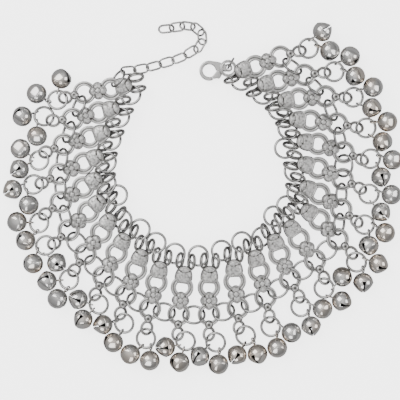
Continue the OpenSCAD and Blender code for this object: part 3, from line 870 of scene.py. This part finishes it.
def slab(outline, thick):
    """A flat plate of the outline's form, still open to more work."""
    bm = new_shape()
    face = bm.faces.new([bm.verts.new((x, y, -thick / 2)) for x, y in outline])
    drawn = bmesh.ops.extrude_face_region(bm, geom=[face])
    bmesh.ops.translate(bm, verts=new_verts(drawn), vec=(0, 0, thick))
    bmesh.ops.recalc_face_normals(bm, faces=bm.faces)
    return bm


def lever_shape():
    bm = slab(LEVER, LEVER_T)
    rims = [e for e in bm.edges if abs(e.verts[0].co.z - e.verts[1].co.z) < 1e-6]
    bmesh.ops.bevel(bm, geom=rims, affect="EDGES", offset=0.26, segments=3, profile=0.5, material=-1)
    return finished_shape(bm, "lever_shape", sharp=30)


def numbered(name, i):
    return f"{name}_{i + 1:02d}"


# Stage

# How strongly the paper is lit from below, and its colour in reflections
PAPER_GLOW, PAPER_REFLECTED = 3.2, (0.35, 0.35, 0.352)

# Name of each light, its place and size in m, and its share of the key light's strength
LIGHTS = (
    ("left_box", (-0.55, 0.5, 0.75), 0.8, 1.0),
    ("right_box", (0.75, 0.0, 0.5), 0.5, 0.35),
    ("near_box", (-0.1, -0.75, 0.55), 0.5, 0.35),
)

# Middle of the photograph in the tables' own coordinates, and the links' height above the floor in m
PHOTO_MIDDLE, LINKS_HEIGHT = complex(0, -0.39), 0.003


def paper_floor(colour):
    """Pale paper lit from below to white out the shadows, and dark in reflections, as if flagged off."""
    paper = bpy.data.materials.new("floor_paper")
    paper.use_nodes = True
    tree = paper.node_tree
    shader = tree.nodes["Principled BSDF"]
    shader.inputs["Roughness"].default_value = 0.9
    shader.inputs["Specular IOR Level"].default_value = 0.1
    path = tree.nodes.new("ShaderNodeLightPath")
    seen = blend_colours(tree, path.outputs["Is Glossy Ray"], colour, PAPER_REFLECTED)
    tree.links.new(seen, shader.inputs["Base Color"])
    glow = math_node(tree, "MULTIPLY", path.outputs["Is Camera Ray"], PAPER_GLOW)
    tree.links.new(glow, shader.inputs["Emission Strength"])
    shader.inputs["Emission Color"].default_value = (1, 1, 1, 1)
    return paper


def tent_world():
    """A light tent: darker toward the horizon and the lower right, bright overhead and upper left."""
    world = bpy.data.worlds.new("studio")
    world.use_nodes = True
    tree = world.node_tree
    coords = tree.nodes.new("ShaderNodeTexCoord")
    slant = tree.nodes.new("ShaderNodeVectorMath")
    slant.operation = "DOT_PRODUCT"
    slant.inputs[1].default_value = (-0.2, 0.22, 0.955)
    tree.links.new(coords.outputs["Generated"], slant.inputs[0])
    ramp = tree.nodes.new("ShaderNodeValToRGB")
    tree.links.new(slant.outputs["Value"], ramp.inputs[0])
    ramp.color_ramp.elements[0].position = 0.0
    ramp.color_ramp.elements[0].color = (0.25, 0.25, 0.252, 1)
    ramp.color_ramp.elements[1].position = 0.95
    ramp.color_ramp.elements[1].color = (1, 1, 1, 1)
    middle = ramp.color_ramp.elements.new(0.6)
    middle.color = (0.48, 0.48, 0.484, 1)
    background = tree.nodes["Background"]
    tree.links.new(ramp.outputs[0], background.inputs["Color"])
    background.inputs["Strength"].default_value = 1.15
    return world


# Settings, operators and panel

class AnkletFinish(bpy.types.PropertyGroup):
    silver: bpy.props.FloatVectorProperty(
        name="Silver", description="Colour of the shields and flowers", subtype="COLOR", size=3,
        default=(0.7, 0.69, 0.677), min=0, max=1)
    band: bpy.props.FloatVectorProperty(
        name="Band", description="Colour of the flat rings, leaf rings and beads", subtype="COLOR", size=3,
        default=(0.62, 0.612, 0.6), min=0, max=1)
    nickel: bpy.props.FloatVectorProperty(
        name="Nickel", description="Colour of the clasp", subtype="COLOR", size=3,
        default=(0.6, 0.592, 0.58), min=0, max=1)
    # Colour of the painted shade and patina in recesses and along edges, and of the stains.
    shade_and_tarnish: bpy.props.FloatVectorProperty(
        name="Shade And Tarnish", description="Colour of the recesses", subtype="COLOR", size=3,
        default=(0.05, 0.047, 0.043), min=0, max=1)
    wire: bpy.props.FloatVectorProperty(
        name="Wire", description="Colour of the wire rings and the extender", subtype="COLOR", size=3,
        default=(0.4, 0.396, 0.388), min=0, max=1)
    bell: bpy.props.FloatVectorProperty(
        name="Bell", description="Colour of the polished bells", subtype="COLOR", size=3,
        default=(0.68, 0.67, 0.655), min=0, max=1)
    warm: bpy.props.FloatVectorProperty(
        name="Warm bell", description="Colour where the bells' plating has warmed", subtype="COLOR", size=3,
        default=(0.66, 0.60, 0.54), min=0, max=1)


class AnkletStage(bpy.types.PropertyGroup):
    picture_width: bpy.props.FloatProperty(
        name="Picture width", description="Width that the camera sees at the links' height", unit="LENGTH",
        default=0.156, min=0.05, max=0.5)
    lens: bpy.props.FloatProperty(
        name="Lens", description="Focal length in mm", default=120, min=35, max=300)
    light: bpy.props.FloatProperty(
        name="Light", description="Strength of the key light", unit="POWER", default=7.0, min=0, max=200)
    floor_colour: bpy.props.FloatVectorProperty(
        name="Floor", description="Colour of the floor", subtype="COLOR", size=3,
        default=(0.93, 0.93, 0.93), min=0, max=1)


class ANKLET_OT_strands(bpy.types.Operator):
    """Builds each strand: shield link, flower link, bead link and end ring"""
    bl_idname = "anklet.strands"
    bl_label = "Strands"

    def execute(self, context):
        # The leaf rings take only a little of the painted shade and patina.
        leaf = band_ring("leaf_ring", *LEAF_RING, steps=30, shade_and_patina=0.15)
        flower_ring = band_ring("flower_ring", *FLOWER_RING)
        bead_ring = band_ring("bead_ring", *BEAD_RING)
        end_ring = band_ring("end_ring", *END_RING, steps=32)
        shield, flower, ball = shield_body(), flower_body(), bead_ball()
        plain, engraved = banded_silver(), engraved_silver()
        for i, row in enumerate(STRANDS):
            inner = place(leaf_hole(i), row.shield, LEAF_Z, FLOWER_Z, SHIELD_L)
            middle = place(flower_hole(i), row.flower, FLOWER_Z, BEAD_Z, FLOWER_L)
            outer = place(bead_hole(i), row.bead, BEAD_Z, END_Z, BEAD_L)
            last = place(end_hole(i), row.bead, END_Z, roll=END_ROLL)
            left, right = inner @ moved(0, LEAF_OFF), inner @ moved(0, -LEAF_OFF)
            splay = LEAF_SPLAY if i < COUNT - 1 else LAST_LEAF_SPLAY
            leaves = [(leaf, left @ turn_x(splay), plain), (leaf, right @ turn_x(-LEAF_SPLAY), plain),
                      (leaf, right @ turn_x(-TWIN_SPLAY), plain)]
            if i < COUNT - 1:
                leaves.append((leaf, left @ turn_x(TWIN_SPLAY), plain))
            joined(numbered("strand_links", i), leaves + [
                (shield, inner, engraved), (flower_ring, middle, plain), (flower, middle, engraved),
                (bead_ring, outer, plain), (ball, outer, plain), (end_ring, last, plain),
            ], [numbered("strand", i)])
        return {"FINISHED"}


class ANKLET_OT_wire_rings(bpy.types.Operator):
    """Builds the two rows of wire rings and the ring that carries the extender"""
    bl_idname = "anklet.wire_rings"
    bl_label = "Wire rings"

    def execute(self, context):
        wire = bright_wire()
        inner = wire_ring("inner_ring", INNER_ROW_D, RING_WIRE)
        joined("inner_wire_rings", [(inner, m, wire) for m in inner_ring_places()],
               ["inner_rings"])
        outer = wire_ring("outer_ring", OUTER_ROW_D, RING_WIRE)
        joined("outer_wire_rings", [(outer, m, wire) for m in outer_ring_places()],
               ["outer_rings"])
        jump = wire_ring("end_jump", END_JUMP_D, END_JUMP_WIRE)
        spot = complex(END_JUMP[0], END_JUMP[1])
        matrix = place(spot, bearing(spot, flower_hole(0)), END_JUMP[2], roll=END_JUMP_ROLL)
        joined("end_jump_wire", [(jump, matrix, wire)], ["end_jump_ring"])
        return {"FINISHED"}


class ANKLET_OT_bells(bpy.types.Operator):
    """Builds each strand's drop ring and its two bells"""
    bl_idname = "anklet.bells"
    bl_label = "Bells"

    def execute(self, context):
        ring, shell, loop = wire_ring("drop_ring", DROP_D, DROP_WIRE), bell_shell(), bell_loop()
        wire, bell = bright_wire(), polished_bell()
        for i, (middle, u, v) in enumerate(lying()):
            drop = Drop(i, middle, (u, v))
            parts = [(ring, place(middle, drop.axis, DROP_Z, roll=DROP_ROLL), wire)]
            for matrix, loop_matrix in drop.bell_places():
                parts += [(shell, matrix, bell), (loop, loop_matrix, bell)]
            joined(numbered("drop_and_bells", i), parts, [numbered("bells", i)])
        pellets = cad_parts["bell_pellets"]
        pellets.data.materials.clear()
        pellets.data.materials.append(dark_iron())
        return {"FINISHED"}


class ANKLET_OT_extender(bpy.types.Operator):
    """Builds the extender chain"""
    bl_idname = "anklet.extender"
    bl_label = "Extender chain"

    def execute(self, context):
        link, wire = extender_link(), bright_wire()
        joined("extender_links", [(link, m, wire) for m in extender_places()],
               ["extender_chain"])
        return {"FINISHED"}


class ANKLET_OT_clasp(bpy.types.Operator):
    """Builds the hook clasp, its lever and pin, and the ring that holds it"""
    bl_idname = "anklet.clasp"
    bl_label = "Clasp"

    def execute(self, context):
        matrix = place(CLASP_AT, CLASP_AIM, CLASP_Z)
        tip = finished_shape(slab(HOOK_TIP, HOOK_TIP_T), "hook_tip")
        tip.transform(frame_matrix() @ matrix)
        cast_copy("clasp_hook_body", "clasp_body", voxel=0.00011, rounds=26, swell=0.00007, tip=tip)
        cast_copy("clasp_pivot_pin", "clasp_pin", voxel=0.00006, rounds=3, swell=0.0)
        joined("clasp_thumb_lever", [(lever_shape(), matrix, satin_nickel())],
               ["clasp_lever"], "clasp_lever")
        ring = wire_ring("clasp_ring_wire", CLASP_RING_D, CLASP_RING_WIRE)
        spot = CLASP_AT + EYE * aim(CLASP_AIM) + CLASP_RING_D / 2 * 0.82 * aim(CLASP_RING_TURN)
        matrix = place(spot, CLASP_RING_TURN, (CLASP_Z + LEAF_Z) / 2 + 0.1, roll=90)
        joined("clasp_link_ring", [(ring, matrix, bright_wire())], ["clasp_ring"])
        return {"FINISHED"}


class ANKLET_OT_stage(bpy.types.Operator):
    """Lays the floor and sets the lights and the camera"""
    bl_idname = "anklet.stage"
    bl_label = "Stage"

    def execute(self, context):
        settings = context.scene.anklet_stage
        bm = bmesh.new()
        bmesh.ops.create_grid(bm, x_segments=1, y_segments=1, size=3)
        mesh = bpy.data.meshes.new("floor")
        bm.to_mesh(mesh)
        bm.free()
        floor = bpy.data.objects.new("floor", mesh)
        context.scene.collection.objects.link(floor)
        mesh.materials.append(paper_floor(settings.floor_colour))
        context.scene.world = tent_world()

        for name, spot, size, share in LIGHTS:
            data = bpy.data.lights.new(name, "AREA")
            data.size = size
            data.energy = settings.light * share
            light = bpy.data.objects.new(name, data)
            light.location = spot
            light.rotation_mode = "QUATERNION"
            light.rotation_quaternion = Vector(spot).to_track_quat("Z", "Y")
            context.scene.collection.objects.link(light)

        # The photograph's middle, in the frame, seen from straight above
        camera_data = bpy.data.cameras.new("camera")
        camera_data.lens = settings.lens
        camera = bpy.data.objects.new("camera", camera_data)
        distance = settings.picture_width / 2 * settings.lens / (camera_data.sensor_width / 2)
        middle = (PHOTO_MIDDLE - MIDDLE) * MM
        camera.location = (middle.real, middle.imag, distance + LINKS_HEIGHT)
        context.scene.collection.objects.link(camera)
        context.scene.camera = camera
        return {"FINISHED"}


class ANKLET_PT_panel(bpy.types.Panel):
    bl_label = "Bell Anklet"
    bl_space_type = "VIEW_3D"
    bl_region_type = "UI"
    bl_category = "Anklet"

    def draw(self, context):
        for group in (context.scene.anklet_finish, context.scene.anklet_stage):
            for name in group.bl_rna.properties.keys():
                if name not in ("rna_type", "name"):
                    self.layout.prop(group, name)
        for operator in OPERATORS:
            self.layout.operator(operator.bl_idname)


GROUPS = (AnkletFinish, AnkletStage)
OPERATORS = (ANKLET_OT_stage, ANKLET_OT_strands, ANKLET_OT_wire_rings, ANKLET_OT_bells, ANKLET_OT_extender,
             ANKLET_OT_clasp)


def register():
    for item in (*GROUPS, *OPERATORS, ANKLET_PT_panel):
        bpy.utils.register_class(item)
    bpy.types.Scene.anklet_finish = bpy.props.PointerProperty(type=AnkletFinish)
    bpy.types.Scene.anklet_stage = bpy.props.PointerProperty(type=AnkletStage)


def unregister():
    del bpy.types.Scene.anklet_stage
    del bpy.types.Scene.anklet_finish
    for item in reversed((*GROUPS, *OPERATORS, ANKLET_PT_panel)):
        bpy.utils.unregister_class(item)


def main():
    register()
    bpy.ops.anklet.stage()
    bpy.ops.anklet.strands()
    bpy.ops.anklet.wire_rings()
    bpy.ops.anklet.bells()
    bpy.ops.anklet.extender()
    bpy.ops.anklet.clasp()


if __name__ == "__main__":
    main()
